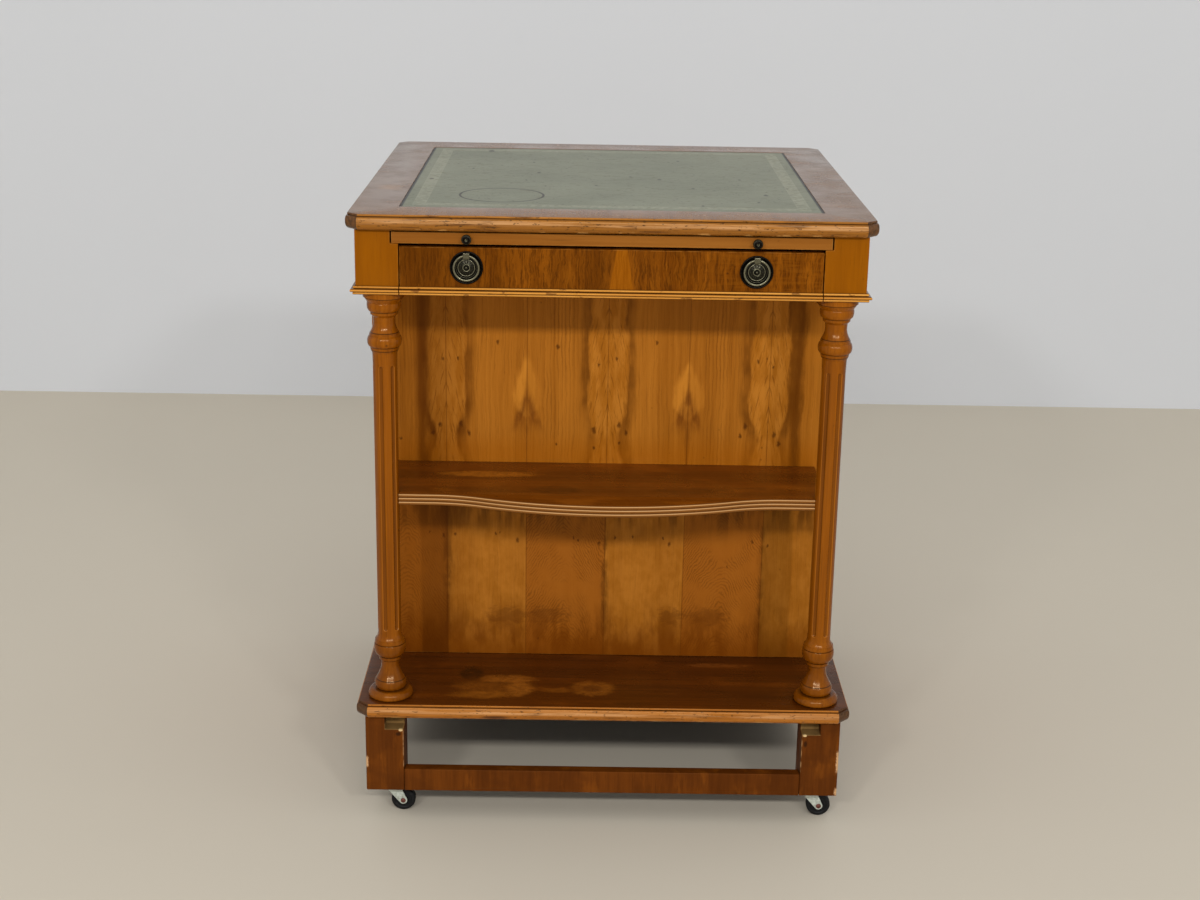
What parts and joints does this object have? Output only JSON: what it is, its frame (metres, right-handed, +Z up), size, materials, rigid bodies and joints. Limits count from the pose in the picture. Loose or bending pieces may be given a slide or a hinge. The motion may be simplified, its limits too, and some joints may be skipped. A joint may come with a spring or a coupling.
{
  "type": "telephone cabinet",
  "caption": "Square wooden telephone cabinet on casters: leather-topped board, pull-out writing slide over a drawer, fluted columns before open bays, open plinth.",
  "frame": {"origin": "on the floor under the middle of the whole plan", "axes": "+Z up, the front with drawer and bays looks along -Y, +X to the right as seen from the front"},
  "size_m": [0.595, 0.6034, 0.7499],
  "materials": {
    "veneer_top": "satin",
    "leather": "worn",
    "honey": "satin",
    "slide_wood": "satin",
    "drawer_veneer": "satin",
    "bead_gold": "satin",
    "column_wood": "polished",
    "yew_panel": "polished",
    "shelf_wood": "polished",
    "plinth_wood": "worn",
    "raw_wood": "unfinished",
    "bronze": "blackened",
    "zinc": "galvanised",
    "rivet_steel": "rusty",
    "wheel_black": "black"
  },
  "bodies": {
    "cabinet": {"top_board": "veneer_top", "leather_inset": "leather", "frieze_back": "honey", "dust_board": "raw_wood", "middle_shelf": "shelf_wood", "bay_panel": "yew_panel", "body_back": "yew_panel", "bottom_shelf": "shelf_wood", "plinth_rail": "plinth_wood", "plinth_back": "plinth_wood", "frieze_block_left": "honey", "frieze_side_left": "honey", "bead_block_left": "bead_gold", "bead_side_left": "bead_gold", "bearer_left": "raw_wood", "column_left": "column_wood", "body_side_left": "yew_panel", "plinth_post_left": "plinth_wood", "plinth_rear_post_left": "plinth_wood", "plinth_side_left": "plinth_wood", "caster_plate_front_left": "zinc", "caster_plate_rear_left": "zinc", "frieze_block_right": "honey", "frieze_side_right": "honey", "bead_block_right": "bead_gold", "bead_side_right": "bead_gold", "bearer_right": "raw_wood", "column_right": "column_wood", "body_side_right": "yew_panel", "plinth_post_right": "plinth_wood", "plinth_rear_post_right": "plinth_wood", "plinth_side_right": "plinth_wood", "caster_plate_front_right": "zinc", "caster_plate_rear_right": "zinc"},
    "slide": {"writing_slide": "slide_wood", "slide_knob_left": "bronze", "slide_knob_right": "bronze"},
    "drawer": {"drawer_front": "drawer_veneer", "drawer_bead": "bead_gold", "drawer_side_left": "raw_wood", "drawer_side_right": "raw_wood", "drawer_back": "raw_wood", "drawer_bottom": "raw_wood", "pull_plate_left": "bronze", "pull_plate_right": "bronze"},
    "ring_left": {"pull_ring_left": "bronze"},
    "ring_right": {"pull_ring_right": "bronze"},
    "caster_front_left": {"caster_fork_front_left": "zinc", "caster_axle_front_left": "rivet_steel"},
    "wheel_front_left": {"caster_wheel_front_left": "wheel_black"},
    "caster_front_right": {"caster_fork_front_right": "zinc", "caster_axle_front_right": "rivet_steel"},
    "wheel_front_right": {"caster_wheel_front_right": "wheel_black"},
    "caster_rear_left": {"caster_fork_rear_left": "zinc", "caster_axle_rear_left": "rivet_steel"},
    "wheel_rear_left": {"caster_wheel_rear_left": "wheel_black"},
    "caster_rear_right": {"caster_fork_rear_right": "zinc", "caster_axle_rear_right": "rivet_steel"},
    "wheel_rear_right": {"caster_wheel_rear_right": "wheel_black"}
  },
  "joints": [
    {"name": "slide_out", "type": "slide", "parent": "cabinet", "child": "slide", "axis": [0, -1, 0], "range_m": [0, 0.28]},
    {"name": "drawer_out", "type": "slide", "parent": "cabinet", "child": "drawer", "axis": [0, -1, 0], "range_m": [0, 0.3]},
    {"name": "ring_left_swing", "type": "hinge", "parent": "drawer", "child": "ring_left", "pos_m": [-0.1624, -0.2906, 0.70443], "axis": [-1, 0, 0], "range_deg": [0, 90]},
    {"name": "ring_right_swing", "type": "hinge", "parent": "drawer", "child": "ring_right", "pos_m": [0.1624, -0.2906, 0.70443], "axis": [-1, 0, 0], "range_deg": [0, 90]},
    {"name": "caster_front_left_swivel", "type": "hinge", "parent": "cabinet", "child": "caster_front_left", "pos_m": [-0.2572, -0.256, 0.03733], "axis": [0, 0, 1], "continuous": true},
    {"name": "wheel_front_left_roll", "type": "hinge", "parent": "caster_front_left", "child": "wheel_front_left", "pos_m": [-0.2452, -0.256, 0.01482], "axis": [0, 1, 0], "continuous": true},
    {"name": "caster_front_right_swivel", "type": "hinge", "parent": "cabinet", "child": "caster_front_right", "pos_m": [0.2572, -0.256, 0.03733], "axis": [0, 0, 1], "continuous": true},
    {"name": "wheel_front_right_roll", "type": "hinge", "parent": "caster_front_right", "child": "wheel_front_right", "pos_m": [0.2692, -0.256, 0.01482], "axis": [0, 1, 0], "continuous": true},
    {"name": "caster_rear_left_swivel", "type": "hinge", "parent": "cabinet", "child": "caster_rear_left", "pos_m": [-0.2572, 0.2614, 0.03733], "axis": [0, 0, 1], "continuous": true},
    {"name": "wheel_rear_left_roll", "type": "hinge", "parent": "caster_rear_left", "child": "wheel_rear_left", "pos_m": [-0.2452, 0.2614, 0.01482], "axis": [0, 1, 0], "continuous": true},
    {"name": "caster_rear_right_swivel", "type": "hinge", "parent": "cabinet", "child": "caster_rear_right", "pos_m": [0.2572, 0.2614, 0.03733], "axis": [0, 0, 1], "continuous": true},
    {"name": "wheel_rear_right_roll", "type": "hinge", "parent": "caster_rear_right", "child": "wheel_rear_right", "pos_m": [0.2692, 0.2614, 0.01482], "axis": [0, 1, 0], "continuous": true}
  ]
}
